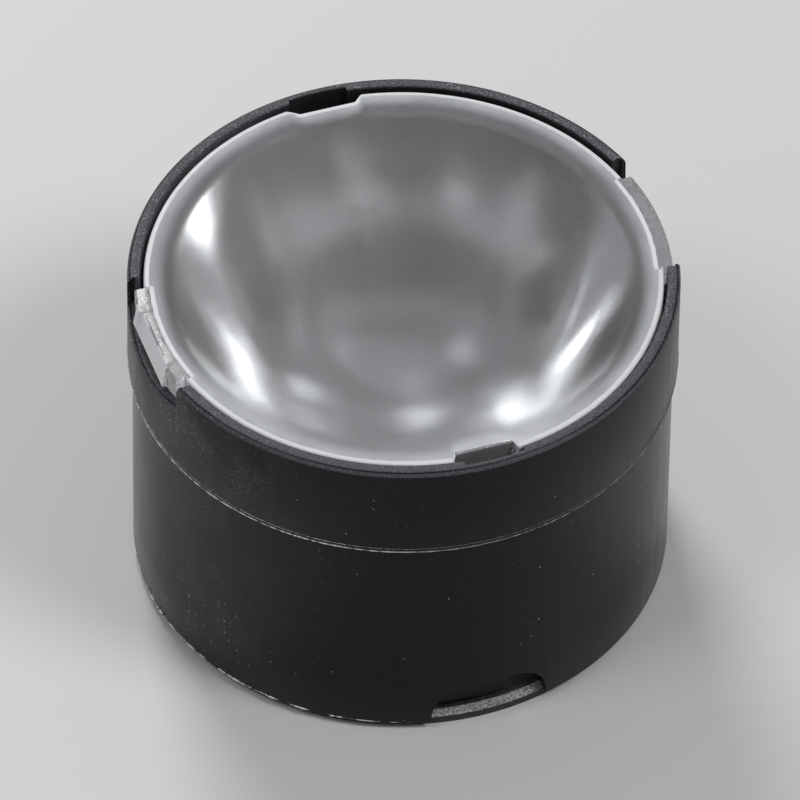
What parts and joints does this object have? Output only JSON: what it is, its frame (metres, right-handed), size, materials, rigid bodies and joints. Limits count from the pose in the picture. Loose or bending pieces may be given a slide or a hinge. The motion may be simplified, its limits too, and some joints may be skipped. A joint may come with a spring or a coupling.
{
  "type": "led lens",
  "caption": "Clear round collimating lens with a frosted front, seated just below the rim of a black moulded barrel with an adhesive ring underneath; gathers one LED's light into a beam.",
  "frame": {"origin": "centre of the adhesive ring's underside, on the surface it sticks to", "axes": "+Z along the optical axis towards the frosted front; the lens's ears and the rim's windows lie along X, the flange notches and the foot arches along Y"},
  "size_m": [0.0216, 0.0216, 0.0148],
  "materials": {
    "clear_acrylic": "clear acrylic, polished sides, fine frosted front face",
    "black_moulding": "black polycarbonate, finely spark-eroded rim, satin wall",
    "adhesive_foam": "dark foam tape, pale with dust where its adhesive is exposed"
  },
  "bodies": {
    "root": {"lens": "clear_acrylic", "holder": "black_moulding", "adhesive_tape": "adhesive_foam"}
  },
  "joints": []
}
